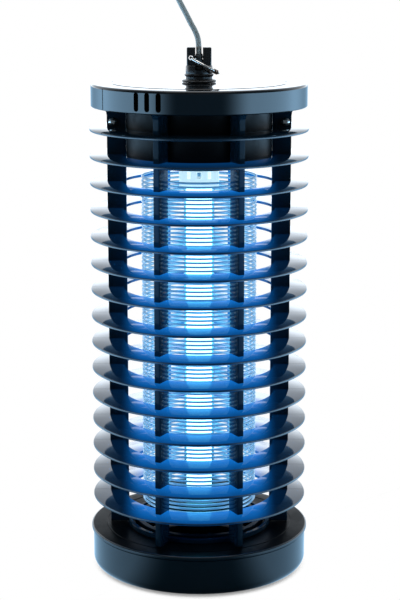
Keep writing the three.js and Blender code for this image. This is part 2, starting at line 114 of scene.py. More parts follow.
def sharpEdges(bm, degrees=35):
    limit = math.radians(degrees)
    return [e for e in bm.edges if len(e.link_faces) == 2 and e.calc_face_angle(0) > limit]


def addBlock(bm, size, middle, soften=0.0, segments=2):
    made = bmesh.ops.create_cube(bm, size=1)["verts"]
    bmesh.ops.scale(bm, verts=made, vec=Vector(size) / 1000)
    moveVerts(bm, made, middle)
    if soften:
        softenEdges(bm, {e for v in made for e in v.link_edges}, soften, segments)
    return made


def addRod(bm, radius, bottom, top, sides=24):
    made = bmesh.ops.create_cone(bm, cap_ends=True, segments=sides, radius1=radius / 1000,
                                 radius2=radius / 1000, depth=(top - bottom) / 1000)["verts"]
    moveVerts(bm, made, (0, 0, (top + bottom) / 2))
    return made


def turnVerts(bm, verts, degrees, axis="Z"):
    spin = Matrix.Rotation(math.radians(degrees), 3, axis)
    bmesh.ops.rotate(bm, verts=verts, cent=(0, 0, 0), matrix=spin)


def moveVerts(bm, verts, place):
    bmesh.ops.translate(bm, verts=verts, vec=Vector(place) / 1000)


def mergeInto(bm, part):
    # a part made on its own joins the piece
    mesh = bpy.data.meshes.new("part")
    part.to_mesh(mesh)
    part.free()
    bm.from_mesh(mesh)
    bpy.data.meshes.remove(mesh)


def smoothFaces(mesh, smoothBelow):
    mesh.polygons.foreach_set("use_smooth", [True] * len(mesh.polygons))
    mesh.set_sharp_from_angle(angle=math.radians(smoothBelow))


def asObject(name, bm, smoothBelow=35):
    bmesh.ops.remove_doubles(bm, verts=bm.verts, dist=1e-6)
    bmesh.ops.recalc_face_normals(bm, faces=bm.faces)
    mesh = bpy.data.meshes.new(name)
    bm.to_mesh(mesh)
    bm.free()
    smoothFaces(mesh, smoothBelow)
    piece = bpy.data.objects.new(name, mesh)
    bpy.context.scene.collection.objects.link(piece)
    return piece


def combine(base, tools, operation, smoothBelow=35):
    # each tool is added to or cut from the base, and then thrown away
    for tool in tools:
        step = base.modifiers.new("fit", "BOOLEAN")
        step.operation = operation
        step.solver = "EXACT"
        step.object = tool
        bpy.context.view_layer.update()
        shaped = base.evaluated_get(bpy.context.evaluated_depsgraph_get())
        mesh = bpy.data.meshes.new_from_object(shaped)
        base.modifiers.clear()
        old = base.data
        base.data = mesh
        bpy.data.meshes.remove(old)
        bpy.data.objects.remove(tool)
    smoothFaces(base.data, smoothBelow)
    return base


def blockTool(size, middle, soften=0.0, segments=2):
    bm = bmesh.new()
    addBlock(bm, size, middle, soften, segments)
    return asObject("tool", bm)


def rodTool(radius, bottom, top, sides):
    bm = bmesh.new()
    addRod(bm, radius, bottom, top, sides=sides)
    return asObject("tool", bm)


def finishPiece(piece, material, body="zapper", stands=()):
    piece.data.materials.clear()
    piece.data.materials.append(material)
    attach(piece, body)
    if stands:
        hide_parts(*stands)
    return piece


# camera
cameraSettings = {"place": (0.00054, -1.0, 0.3756), "tilt": 11.717, "lens": 99.6, "sensor": 36}


def placeCamera():
    lens = bpy.data.cameras.new("camera")
    lens.lens = cameraSettings["lens"]
    lens.sensor_width = cameraSettings["sensor"]
    camera = bpy.data.objects.new("camera", lens)
    camera.location = cameraSettings["place"]
    camera.rotation_euler = (math.radians(90 - cameraSettings["tilt"]), 0, 0)
    bpy.context.scene.collection.objects.link(camera)
    bpy.context.scene.camera = camera


placeCamera()


def startGroup(name, inputs, outputs):
    group = bpy.data.node_groups.new(name, "ShaderNodeTree")
    for label, value in inputs.items():
        socket = group.interface.new_socket(label, in_out="INPUT", socket_type="NodeSocketFloat")
        socket.default_value = value
    for label, kind in outputs.items():
        group.interface.new_socket(label, in_out="OUTPUT", socket_type=kind)
    source = group.nodes.new("NodeGroupInput")
    sink = group.nodes.new("NodeGroupOutput")
    return group, source, sink


def mathNode(tree, operation, a, b=None, clamp=False):
    node = tree.nodes.new("ShaderNodeMath")
    node.operation = operation
    node.use_clamp = clamp
    for slot, value in zip(node.inputs, (a, b)):
        if value is None:
            continue
        if isinstance(value, (int, float)):
            slot.default_value = value
        else:
            tree.links.new(value, slot)
    return node.outputs[0]


def times(tree, a, b):
    return mathNode(tree, "MULTIPLY", a, b)


def ramp(tree, value, low, high, lowOut=0.0, highOut=1.0):
    node = tree.nodes.new("ShaderNodeMapRange")
    node.interpolation_type = "SMOOTHSTEP"
    tree.links.new(value, node.inputs["Value"])
    node.inputs["From Min"].default_value = low
    node.inputs["From Max"].default_value = high
    node.inputs["To Min"].default_value = lowOut
    node.inputs["To Max"].default_value = highOut
    return node.outputs["Result"]


def noise(tree, scale, detail=3.0, roughness=0.5):
    node = tree.nodes.new("ShaderNodeTexNoise")
    if isinstance(scale, (int, float)):
        node.inputs["Scale"].default_value = scale
    else:
        tree.links.new(scale, node.inputs["Scale"])
    node.inputs["Detail"].default_value = detail
    node.inputs["Roughness"].default_value = roughness
    tree.links.new(objectCoords(tree), node.inputs["Vector"])
    return node.outputs["Fac"]


def objectCoords(tree):
    return tree.nodes.new("ShaderNodeTexCoord").outputs["Object"]


def facesNormal(tree):
    return tree.nodes.new("ShaderNodeNewGeometry").outputs["Normal"]


def splitXYZ(tree, vector):
    parts = tree.nodes.new("ShaderNodeSeparateXYZ")
    tree.links.new(vector, parts.inputs[0])
    return parts.outputs["X"], parts.outputs["Y"], parts.outputs["Z"]


def fromAxis(tree, x, y):
    squares = mathNode(tree, "ADD", times(tree, x, x), times(tree, y, y))
    return mathNode(tree, "SQRT", squares)


def buildSmudge():
    # cloudy finger marks and wiping streaks: 0 clean to 1 dull
    group, source, sink = startGroup("smudge", {"Scale": 28, "Amount": 1}, {"Mask": "NodeSocketFloat"})
    wide = noise(group, source.outputs["Scale"], 4, 0.6)
    fine = noise(group, 240, 3, 0.6)
    both = mathNode(group, "ADD", times(group, wide, 0.7), times(group, fine, 0.3))
    mask = times(group, ramp(group, both, 0.42, 0.66), source.outputs["Amount"])
    group.links.new(mask, sink.inputs["Mask"])
    return group


def buildDust():
    # dust settles on what faces up and collects in patches
    group, source, sink = startGroup("dust", {"Amount": 1}, {"Mask": "NodeSocketFloat"})
    upward = splitXYZ(group, facesNormal(group))[2]
    up = ramp(group, upward, 0.55, 0.95)
    patches = ramp(group, noise(group, 55, 5, 0.62), 0.4, 0.7)
    specks = ramp(group, noise(group, 900, 2, 0.5), 0.6, 0.72)
    both = mathNode(group, "ADD", times(group, patches, 0.5), times(group, specks, 0.5))
    mask = times(group, times(group, up, both), source.outputs["Amount"])
    group.links.new(mask, sink.inputs["Mask"])
    return group


def buildPeel():
    # the slight unevenness of a moulded surface, as a height
    group, source, sink = startGroup("mouldedPeel", {"Scale": 320, "Amount": 1},
                                     {"Height": "NodeSocketFloat"})
    pores = noise(group, source.outputs["Scale"], 3, 0.55)
    waves = noise(group, 40, 2, 0.4)
    both = mathNode(group, "ADD", times(group, pores, 0.4), times(group, waves, 0.6))
    height = times(group, both, source.outputs["Amount"])
    group.links.new(height, sink.inputs["Height"])
    return group


# where the painted glow of the tube's light falls on the cage, in metres
tubeLightSettings = {"inner": 0.048, "farShare": 0.02, "postShade": (0.033, 0.048), "shadedShare": 0.06,
                     "bottomFade": (0.040, 0.047), "topFade": (0.250, 0.262)}


def buildTubeLight():
    # mask of the painted glow: how strongly a point of the cage faces the tube, fading outwards: 0 to 1
    s = tubeLightSettings
    group, source, sink = startGroup("tubeLight", {"Inner": s["inner"], "Outer": 0.0655},
                                     {"Mask": "NodeSocketFloat"})
    x, y, z = splitXYZ(group, objectCoords(group))
    normalX, normalY, normalZ = splitXYZ(group, facesNormal(group))
    across = fromAxis(group, x, y)
    along = mathNode(group, "ADD", times(group, x, normalX), times(group, y, normalY))
    outward = mathNode(group, "DIVIDE", along, across)
    inward = mathNode(group, "MAXIMUM", times(group, outward, -1.0), 0.0)
    level = mathNode(group, "ABSOLUTE", normalZ)
    near = group.nodes.new("ShaderNodeMapRange")
    group.links.new(across, near.inputs["Value"])
    group.links.new(source.outputs["Inner"], near.inputs["From Min"])
    group.links.new(source.outputs["Outer"], near.inputs["From Max"])
    near.inputs["To Min"].default_value = 1
    near.inputs["To Max"].default_value = s["farShare"]
    # painted shade: the two side posts keep the painted glow off the fins beside them
    shade = ramp(group, mathNode(group, "ABSOLUTE", x), *s["postShade"], 1, s["shadedShare"])
    heights = times(group, ramp(group, z, *s["bottomFade"]), ramp(group, z, *s["topFade"], 1, 0))
    facing = times(group, mathNode(group, "MAXIMUM", inward, level), near.outputs["Result"])
    mask = times(group, times(group, facing, shade), heights)
    group.links.new(mask, sink.inputs["Mask"])
    return group


smudgeGroup = buildSmudge()
tubeLightGroup = buildTubeLight()
dustGroup = buildDust()
peelGroup = buildPeel()


def placeGroup(tree, group, **values):
    node = tree.nodes.new("ShaderNodeGroup")
    node.node_tree = group
    for key, value in values.items():
        node.inputs[key].default_value = value
    return node.outputs[0]


def mixColors(tree, factor, first, second):
    node = tree.nodes.new("ShaderNodeMix")
    node.data_type = "RGBA"
    tree.links.new(factor, node.inputs[0])
    for slot, value in ((node.inputs[6], first), (node.inputs[7], second)):
        if isinstance(value, tuple):
            slot.default_value = (*value, 1)
        else:
            tree.links.new(value, slot)
    return node.outputs[2]


def bumpFrom(tree, height, distance):
    node = tree.nodes.new("ShaderNodeBump")
    node.inputs["Strength"].default_value = 1
    node.inputs["Distance"].default_value = distance
    tree.links.new(height, node.inputs["Height"])
    return node.outputs["Normal"]


socketNames = {"ior": "IOR", "metallic": "Metallic", "specular": "Specular IOR Level",
               "emission": "Emission Strength"}


def startMaterial(name, **constants):
    material = bpy.data.materials.new(name)
    material.use_nodes = True
    tree = material.node_tree
    shader = tree.nodes["Principled BSDF"]
    for key, value in constants.items():
        shader.inputs[socketNames[key]].default_value = value
    return material, tree, shader


dustColor = (0.16, 0.17, 0.18)


def mouldedPlastic(name, color, dull, gloss, rough, dustAmount=0.3, peelDepth=0.00003, peelScale=320,
                   **constants):
    # color and dull are the clean and the handled colour; gloss and rough the matching roughness
    material, tree, shader = startMaterial(name, **constants)
    smudge = placeGroup(tree, smudgeGroup, Scale=28, Amount=1)
    dust = placeGroup(tree, dustGroup, Amount=dustAmount)
    worn = mixColors(tree, smudge, color, dull)
    dusty = mixColors(tree, dust, worn, dustColor)
    tree.links.new(dusty, shader.inputs["Base Color"])
    base = ramp(tree, smudge, 0, 1, gloss, rough)
    tree.links.new(mathNode(tree, "ADD", base, times(tree, dust, 0.5), clamp=True),
                   shader.inputs["Roughness"])
    peel = placeGroup(tree, peelGroup, Scale=peelScale, Amount=1)
    tree.links.new(bumpFrom(tree, peel, peelDepth), shader.inputs["Normal"])
    return material


def platedMetal(name, color, dull, gloss, rough, brushed=0.0, **constants):
    material, tree, shader = startMaterial(name, metallic=1, **constants)
    smudge = placeGroup(tree, smudgeGroup, Scale=90, Amount=1)
    tree.links.new(mixColors(tree, smudge, color, dull), shader.inputs["Base Color"])
    tree.links.new(ramp(tree, smudge, 0, 1, gloss, rough), shader.inputs["Roughness"])
    scratches = noise(tree, 700 + 900 * brushed, 3, 0.6)
    tree.links.new(bumpFrom(tree, scratches, 0.00002 + 0.00003 * brushed), shader.inputs["Normal"])
    return material


# the last four entries are painted glow: emission colours and a strength that stand in for the tube's light
# on the cage, the wires and the upper holder
lampSettings = {"look": (1.5, 2.9, 3.6), "lookEnd": (0.25, 0.9, 1.5), "mirrored": (0.4, 2.3, 3.5),
                "cast": (1.8, 9, 17), "endLength": 0.006, "paintedGlowOnCage": (0.004, 0.15, 0.56),
                "paintedGlowOnWires": (0.08, 0.36, 0.72), "paintedWireGlowStrength": 0.35, "paintedGlowOnHolder": (0.62, 0.88, 1.0)}


def litGlass():
    # the tube looks white-hot where it is seen or mirrored, and what it lights turns deep blue
    material, tree, shader = startMaterial("litGlass", ior=1.5)
    s = lampSettings
    z = splitXYZ(tree, objectCoords(tree))[2]
    low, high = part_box("lamp_tube")
    fromLow = ramp(tree, z, low[2], low[2] + s["endLength"])
    fromHigh = ramp(tree, z, high[2] - s["endLength"], high[2], 1, 0)
    grain = ramp(tree, noise(tree, 180, 3, 0.5), 0.2, 0.8, 0.88, 1.0)
    glow = times(tree, times(tree, fromLow, fromHigh), grain)
    look = mixColors(tree, glow, s["lookEnd"], s["look"])
    path = tree.nodes.new("ShaderNodeLightPath")
    cast = mixColors(tree, path.outputs["Is Glossy Ray"], s["cast"], s["mirrored"])
    color = mixColors(tree, path.outputs["Is Camera Ray"], cast, look)
    tree.links.new(color, shader.inputs["Emission Color"])
    shader.inputs["Emission Strength"].default_value = 1
    coat = ramp(tree, noise(tree, 300, 2, 0.5), 0.3, 0.7, 0.0, 1.0)
    milky = mixColors(tree, coat, (0.75, 0.85, 0.95), (0.85, 0.93, 1.0))
    tree.links.new(milky, shader.inputs["Base Color"])
    shader.inputs["Roughness"].default_value = 0.12
    return material


glossBlack = mouldedPlastic("glossBlack", (0.003, 0.012, 0.019), (0.005, 0.014, 0.022), 0.04, 0.10,
                            dustAmount=0.04, peelDepth=0.000006, ior=1.52)
capBlack = mouldedPlastic("capBlack", (0.001, 0.0035, 0.0055), (0.002, 0.005, 0.007), 0.05, 0.12,
                          dustAmount=0.05, peelDepth=0.000006, ior=1.52)
cageBlack = mouldedPlastic("cageBlack", (0.003, 0.014, 0.026), (0.005, 0.017, 0.03), 0.05, 0.11,
                           dustAmount=0.04, peelDepth=0.000006, ior=1.52)
neckBlack = mouldedPlastic("neckBlack", (0.0012, 0.0015, 0.002), (0.002, 0.0025, 0.003), 0.4, 0.55,
                           dustAmount=0.03, peelDepth=0.00004, specular=0.12)
deckBlack = mouldedPlastic("deckBlack", (0.0012, 0.002, 0.0028), (0.002, 0.003, 0.004), 0.3, 0.42,
                           dustAmount=0.02, peelDepth=0.00003, specular=0.03)
insideBlack = mouldedPlastic("insideBlack", (0.0015, 0.004, 0.007), (0.002, 0.005, 0.008), 0.3, 0.42,
                             dustAmount=0.02, peelDepth=0.00003, specular=0.05)
bossBlack = mouldedPlastic("bossBlack", (0.005, 0.006, 0.007), (0.009, 0.010, 0.011), 0.16, 0.3,
                           dustAmount=0.15, peelDepth=0.00004, ior=1.5)
reliefBlack = mouldedPlastic("reliefBlack", (0.03, 0.035, 0.037), (0.045, 0.05, 0.05), 0.45, 0.6,
                             dustAmount=0.2, peelDepth=0.00006)
footRubber = mouldedPlastic("footRubber", (0.014, 0.014, 0.014), (0.03, 0.03, 0.028), 0.7, 0.85,
                            dustAmount=0.3, peelDepth=0.0001, peelScale=600)
# its emission is painted glow, the tube's light drawn on the upper holder; the colour is set further down
palePlastic = mouldedPlastic("palePlastic", (0.62, 0.63, 0.6), (0.52, 0.52, 0.47), 0.4, 0.55,
                             dustAmount=0.3, emission=0.75)
cordJacket = mouldedPlastic("cordJacket", (0.24, 0.245, 0.22), (0.3, 0.3, 0.27), 0.42, 0.58,
                            dustAmount=0.1, peelDepth=0.00006, peelScale=900)
plugBlack = mouldedPlastic("plugBlack", (0.012, 0.013, 0.014), (0.02, 0.021, 0.022), 0.35, 0.5,
                           dustAmount=0.15)
tieBlack = mouldedPlastic("tieBlack", (0.01, 0.01, 0.011), (0.02, 0.02, 0.02), 0.4, 0.55, dustAmount=0.1)
boardGreen = mouldedPlastic("boardGreen", (0.02, 0.13, 0.05), (0.03, 0.16, 0.07), 0.3, 0.45, dustAmount=0.3)
darkCan = mouldedPlastic("darkCan", (0.02, 0.022, 0.026), (0.035, 0.037, 0.04), 0.4, 0.6, dustAmount=0.3)
ringSteel = platedMetal("ringSteel", (0.8, 0.79, 0.76), (0.55, 0.54, 0.5), 0.14, 0.32)
screwSteel = platedMetal("screwSteel", (0.72, 0.72, 0.7), (0.5, 0.5, 0.48), 0.2, 0.4, brushed=0.5)
pinBrass = platedMetal("pinBrass", (0.78, 0.77, 0.74), (0.6, 0.59, 0.55), 0.16, 0.3)
lampCapMetal = platedMetal("lampCapMetal", (0.75, 0.76, 0.78), (0.5, 0.51, 0.53), 0.22, 0.4, brushed=0.3)
gridSteel = platedMetal("gridSteel", (0.62, 0.66, 0.69), (0.5, 0.54, 0.57), 0.38, 0.55, brushed=0.6)
ferruleBrown = platedMetal("ferruleBrown", (0.16, 0.10, 0.07), (0.11, 0.07, 0.05), 0.3, 0.5)
tubeGlow = litGlass()


def shaderInput(material, label):
    return material.node_tree.nodes["Principled BSDF"].inputs[label]


def lightFromTube(material, color, outerEdge):
    # painted glow: the tube's own light, drawn as emission on what stands round it
    tree = material.node_tree
    facing = placeGroup(tree, tubeLightGroup, Inner=tubeLightSettings["inner"], Outer=outerEdge)
    shaderInput(material, "Emission Color").default_value = (*color, 1)
    tree.links.new(facing, shaderInput(material, "Emission Strength"))


def dullSides(material, low, high):
    # upright faces inside the fins' edge shine less than the fins do
    tree = material.node_tree
    x, y, z = splitXYZ(tree, objectCoords(tree))
    normalZ = splitXYZ(tree, facesNormal(tree))[2]
    level = ramp(tree, mathNode(tree, "ABSOLUTE", normalZ), 0.4, 0.6)
    flat = ramp(tree, times(tree, level, ramp(tree, z, 0.034, 0.040)), 0, 1, low, high)
    edge = ramp(tree, fromAxis(tree, x, y), 0.060, 0.063, low, high)
    tree.links.new(mathNode(tree, "MAXIMUM", flat, edge), shaderInput(material, "Specular IOR Level"))


# painted glow: the cage's deep blue emission stands in for the tube's light falling on the fins and ribs
lightFromTube(cageBlack, lampSettings["paintedGlowOnCage"], 0.078)
dullSides(cageBlack, 0.05, 0.5)
# painted glow: the grid wires' emission stands in for the tube's light falling on them
shaderInput(gridSteel, "Emission Color").default_value = (*lampSettings["paintedGlowOnWires"], 1)
shaderInput(gridSteel, "Emission Strength").default_value = lampSettings["paintedWireGlowStrength"]
# painted glow: the upper holder's emission colour, the tube's light drawn on it
shaderInput(palePlastic, "Emission Color").default_value = (*lampSettings["paintedGlowOnHolder"], 1)
print("materials ready")

# mains lead, coil and plug
cordSettings = {"diameter": 0.0034, "coilMiddle": (-162, -40), "stepsATurn": 36, "climbFrom": 0.8,
                "turns": ((22.9, 1.8), (19.5, 1.8), (16.1, 1.8), (17.8, 4.75), (21.2, 4.75), (19.5, 7.7),
                          (22.9, 7.7))}  # each turn's radius and height
tieSettings = {"beside": -2.2, "coilRadius": 19.5, "halfWidth": 6.1, "halfHeight": 4.9,
               "middleHeight": 5.55, "width": 0.0044, "thickness": 0.0006, "steps": 28,
               "lock": (6, 4.6, 2.2), "lockHeight": 11.1}
plugSettings = {"half": 6.2, "neckLength": 20, "neckShare": 0.5, "rib": (14, 1.1, 0.5), "ribs": 4,
                "ribStart": 24, "ribPitch": 2.6}
plugOutline = [(-3.0, 0), (3.0, 0), (3.4, 5), (4.4, 10), (7.5, 15), (11.6, 19.5), (12.5, 23), (12.5, 34.4),
               (11.6, 35), (-11.6, 35), (-12.5, 34.4), (-12.5, 23), (-11.6, 19.5), (-7.5, 15), (-4.4, 10),
               (-3.4, 5)]
pinProfile = [(0, -1.5), (1.7, -1.5), (1.7, 8.6), (2, 9), (2, 17.6), (1.6, 18.6), (0.9, 19), (0, 19)]
freeRun = [
    (0, 0, 311), (0, 0, 315), (-0.1, 0, 319.5),
    (-0.3, 0, 324.2), (-0.9, 0, 328), (-2.6, 0, 332.2), (-4.9, 0, 336.3), (-7.7, 0, 341.8),
    (-10.8, 0, 347.6), (-16.5, 0.5, 358), (-26, 1.5, 369.5), (-39, 3, 379.5), (-54, 5, 385.5),
    (-70, 7.5, 387), (-86, 10, 384), (-101, 12.5, 376.5), (-114, 15, 365), (-124.5, 17, 350),
    (-132, 18.5, 332), (-137, 19.5, 311), (-139.5, 20.3, 286), (-140.5, 21, 258),
    (-141, 21.5, 228), (-141.2, 22, 196), (-141.3, 22.3, 164), (-141.4, 22.6, 132),
    (-141.5, 22.8, 102), (-141.6, 22.6, 76), (-141.7, 21.4, 54), (-141.8, 18, 36),
    (-142, 11.5, 21), (-142, 3, 10), (-141.2, -7, 4.2), (-140, -16, 2.2), (-139.2, -26, 1.8),
]
tailRun = [(-185.2, -28, 7.4), (-184.6, -18, 6.6), (-181.6, -8, 6.4), (-176.6, -0.5, 6.4),
           (-171.8, 5.2, 6.4), (-168.9, 10.2, 6.5), (-168, 15, 6.5), (-168, 19, 6.5)]


def smoothRun(points, pieces=5):
    run = [Vector(p) / 1000 for p in points]
    padded = [run[0] * 2 - run[1], *run, run[-1] * 2 - run[-2]]
    made = []
    for i in range(1, len(padded) - 2):
        a, b, c, d = padded[i - 1:i + 3]
        for k in range(pieces):
            t = k / pieces
            made.append(0.5 * ((2 * b) + (c - a) * t + (2 * a - 5 * b + 4 * c - d) * t * t
                               + (3 * b - a - 3 * c + d) * t ** 3))
    return [*made, run[-1]]


def coilPoints():
    x, y = cordSettings["coilMiddle"]
    turns = cordSettings["turns"]
    steps = cordSettings["stepsATurn"]
    climb = cordSettings["climbFrom"]
    made = []
    for i in range(len(turns) * steps - steps // 2 + 1):
        along = i / steps
        now, share = int(along), along % 1
        r, z = turns[min(now, len(turns) - 1)]
        if share > climb and now + 1 < len(turns):  # climbs to the next turn over the last fifth
            blend = (share - climb) / 0.2
            blend = blend * blend * (3 - 2 * blend)
            nr, nz = turns[now + 1]
            r, z = r + (nr - r) * blend, z + (nz - z) * blend
        angle = -2 * math.pi * along
        made.append((x + r * math.cos(angle), y + r * math.sin(angle), z))
    return made


def runLength(points):
    return sum((b - a).length for a, b in zip(points, points[1:]))


def makeCord():
    points = smoothRun([*freeRun, *coilPoints(), *tailRun], 3)
    curve = bpy.data.curves.new("mainsLead", "CURVE")
    curve.dimensions = "3D"
    curve.bevel_depth = cordSettings["diameter"] / 2
    curve.bevel_resolution = 3
    curve.use_fill_caps = True
    spline = curve.splines.new("POLY")
    spline.points.add(len(points) - 1)
    for slot, p in zip(spline.points, points):
        slot.co = (*p, 1)
    spline.use_smooth = True
    lead = bpy.data.objects.new("mainsLead", curve)
    bpy.context.scene.collection.objects.link(lead)
    curve.materials.append(cordJacket)
    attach(lead, "zapper")
    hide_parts("mains_cord", "cord_coil")
    return lead, runLength(points)


def makeTie():
    s = tieSettings
    x, y = cordSettings["coilMiddle"]
    y = y - s["coilRadius"]
    bm = bmesh.new()
    verts = []
    for i in range(s["steps"]):  # a squared loop round the bundle
        a = 2 * math.pi * i / s["steps"]
        c, d = math.cos(a), math.sin(a)
        wide = s["halfWidth"] * abs(c) ** 0.6 * (1 if c > 0 else -1)
        tall = s["halfHeight"] * abs(d) ** 0.6 * (1 if d > 0 else -1)
        verts.append(bm.verts.new(Vector((x + s["beside"], y + wide, s["middleHeight"] + tall)) / 1000))
    edges = [bm.edges.new(pair) for pair in zip(verts, verts[1:] + verts[:1])]
    grown = bmesh.ops.extrude_edge_only(bm, edges=edges)["geom"]
    moved = [v for v in grown if isinstance(v, bmesh.types.BMVert)]
    bmesh.ops.translate(bm, verts=moved, vec=(s["width"], 0, 0))
    bmesh.ops.recalc_face_normals(bm, faces=bm.faces)
    bmesh.ops.solidify(bm, geom=list(bm.faces), thickness=s["thickness"])
    addBlock(bm, s["lock"], (x, y - 2, s["lockHeight"]), 0.5)
    return finishPiece(asObject("coilTie", bm), tieBlack, stands=("coil_tie",))


def makePlugBody():
    s = plugSettings
    low, high = boxOf("plug_body")
    middle = (low + high) / 2
    bottom = middle.z - s["half"]
    bm = bmesh.new()
    verts = [bm.verts.new(Vector((middle.x + x, low.y + y, bottom)) / 1000) for x, y in plugOutline]
    growFace(bm, verts, (0, 0, 2 * s["half"] / 1000))
    for v in bm.verts:  # the neck is thin, the grip deep
        along = (v.co.y * 1000 - low.y) / s["neckLength"]
        if along < 1:
            share = s["neckShare"] + (1 - s["neckShare"]) * max(along, 0) ** 0.7
            v.co.z = middle.z / 1000 + (v.co.z - middle.z / 1000) * share
    bmesh.ops.recalc_face_normals(bm, faces=bm.faces)
    softenEdges(bm, sharpEdges(bm, 30), 1.8, 3)
    for i in range(s["ribs"]):  # grip ribs on both faces
        for side in (-1, 1):
            place = (middle.x, low.y + s["ribStart"] + s["ribPitch"] * i, middle.z + side * s["half"])
            addBlock(bm, s["rib"], place, 0.2, 1)
    return finishPiece(asObject("plugBody", bm, 40), plugBlack, stands=("plug_body",))


def makePlugPin(i):
    low, high = boxOf(f"plug_pin_{i}")
    bm = turned(pinProfile, 20)
    bmesh.ops.remove_doubles(bm, verts=bm.verts, dist=1e-6)
    turnVerts(bm, bm.verts, -90, "X")
    moveVerts(bm, bm.verts, ((low.x + high.x) / 2, low.y, (low.z + high.z) / 2))
    pin = asObject(f"plugPin{i}", bm)
    return finishPiece(pin, pinBrass, stands=(f"plug_pin_{i}",))


lead, leadLength = makeCord()
tie = makeTie()
plugPieces = [makePlugBody(), makePlugPin(1), makePlugPin(2)]
print("lead", round(leadLength, 3), "m")

# cage of fins and ribs
cageSettings = {"outer": 66, "inner": 46, "finThickness": 1.6, "ribInner": 44, "ribOuter": 55.5,
                "ribThickness": 3.6, "halfGap": 0.12, "frontRibs": 26.5, "gusset": 4.5, "steps": 72}


def finNames():
    return [f"fin_{i:02d}" for i in range(1, 16)]


def finProfile(bottom):
    c = cageSettings
    top = bottom + c["finThickness"]
    lip = 0.45
    return [(c["inner"], bottom + 0.25), (c["inner"] + 0.25, bottom), (c["outer"] - lip, bottom),
            (c["outer"] - 0.12, bottom + 0.22), (c["outer"], bottom + 0.6), (c["outer"], top - 0.6),
            (c["outer"] - 0.12, top - 0.22), (c["outer"] - lip, top), (c["inner"] + 0.25, top),
            (c["inner"], top - 0.25)]


def ribOutline(bottom, top):
    c = cageSettings
    g = c["gusset"]
    turns = [math.radians(a) for a in (0, 22, 45, 68, 90)]
    flare = [(c["ribOuter"] + g * (1 - math.cos(a)), top - 1.2 * g * (1 - math.sin(a))) for a in turns]
    return [(c["ribInner"], bottom), (c["ribOuter"], bottom), *flare, (c["ribInner"], top)]


def addRib(bm, degrees, bottom, top, thickness, offset=0.0):
    made = addPlate(bm, ribOutline(bottom, top), thickness)
    edges = {e for v in made for e in v.link_edges}
    upright = [e for e in edges if abs(e.verts[0].co.z - e.verts[1].co.z) > 0.01]
    before = set(bm.verts) - set(made)
    softenEdges(bm, upright, 0.4, 2)
    mine = [v for v in bm.verts if v not in before]
    moveVerts(bm, mine, (0, offset, 0))
    turnVerts(bm, mine, degrees)


def makeCageHalf(name, front, stands):
    c = cageSettings
    bm = bmesh.new()
    start = 180 if front else 0
    gapAngle = math.degrees(c["halfGap"] / 56)  # taken halfway out along a fin
    sweep = 180 - 2 * gapAngle
    for fin in finNames():
        spinProfile(bm, finProfile(zOf(fin, 0)), c["steps"], sweep, start + gapAngle, True, True)
    bottom = zOf("cage_rib_1", 0)
    top = zOf("cage_rib_1", 1)
    ring = [(41.8, bottom), (44.6, bottom), (44.6, bottom + 2.2), (44.2, bottom + 2.6),
            (42.2, bottom + 2.6), (41.8, bottom + 2.2)]
    spinProfile(bm, ring, c["steps"], sweep, start + gapAngle, True, True)
    middle = 270 if front else 90
    for side in (-1, 1):
        addRib(bm, middle + side * c["frontRibs"], bottom, top, c["ribThickness"])
    half = c["ribThickness"] / 2 - c["halfGap"]
    for degrees in (0, 180):
        inward = 1 if degrees == 0 else -1
        offset = (half / 2 + c["halfGap"]) * (-1 if front else 1) * inward
        addRib(bm, degrees, bottom, top, half, offset)
    return finishPiece(asObject(name, bm), cageBlack, stands=stands)


allFins = finNames()
makeCageHalf("cageFront", True, (*allFins[0::2], "cage_rib_4", "cage_rib_5", "side_post_left"))
makeCageHalf("cageBack", False, (*allFins[1::2], "cage_rib_1", "cage_rib_2", "side_post_right"))
print("cage halves made")

# screws
screwSettings = {"head": 2.6, "height": 1.5, "shank": 1.35, "cross": (2.6, 0.6, 1.6), "crossTurn": 30}


def addScrew(bm, length):
    s = screwSettings
    h = s["height"]
    r = s["head"]
    profile = [(0, h), (r * 0.45, h * 0.96), (r * 0.8, h * 0.7), (r, h * 0.25), (r, 0), (s["shank"], 0),
               (s["shank"], -length + 1.2), (0, -length)]
    spinProfile(bm, profile, 28)


def makeScrew(name, node, length, facing):
    low, high = boxOf(node)
    middle = (low + high) / 2
    s = screwSettings
    bm = bmesh.new()
    addScrew(bm, length)
    screw = asObject(name, bm)
    tools = []
    for turn in (0, 90):
        bm = bmesh.new()
        made = addBlock(bm, s["cross"], (0, 0, s["height"]))
        turnVerts(bm, made, turn + s["crossTurn"])
        tools.append(asObject("tool", bm))
    combine(screw, tools, "DIFFERENCE")
    screw.data.name = name
    if facing == "front":
        spin = Matrix.Rotation(math.radians(90), 4, "X")
        place = Vector((middle.x, low.y + s["height"], middle.z))
    else:
        spin = Matrix.Rotation(math.pi, 4, "X")
        place = Vector((middle.x, middle.y, low.z + s["height"]))
    screw.data.transform(Matrix.Translation(place / 1000) @ spin)
    return finishPiece(screw, screwSteel, stands=(node,))


for side in ("left", "right"):
    for end in ("lower", "upper"):
        makeScrew(f"cageScrew{side.title()}{end.title()}", f"cage_screw_{side}_{end}", 4.4, "front")
for i in (1, 2, 3):
    makeScrew(f"capScrew{i}", f"cap_screw_{i}", 8.2, "down")
print("screws made")

# base: deck, tray and feet
deckSettings = {"radius": 67.5, "opening": 40, "spigotOuter": 63.7, "spigotInner": 61.5, "spigotDepth": 7,
                "spoke": (27, 8), "hub": 15, "groove": 57.65}
traySettings = {"radius": 66.4, "wall": 2.2, "round": 5}


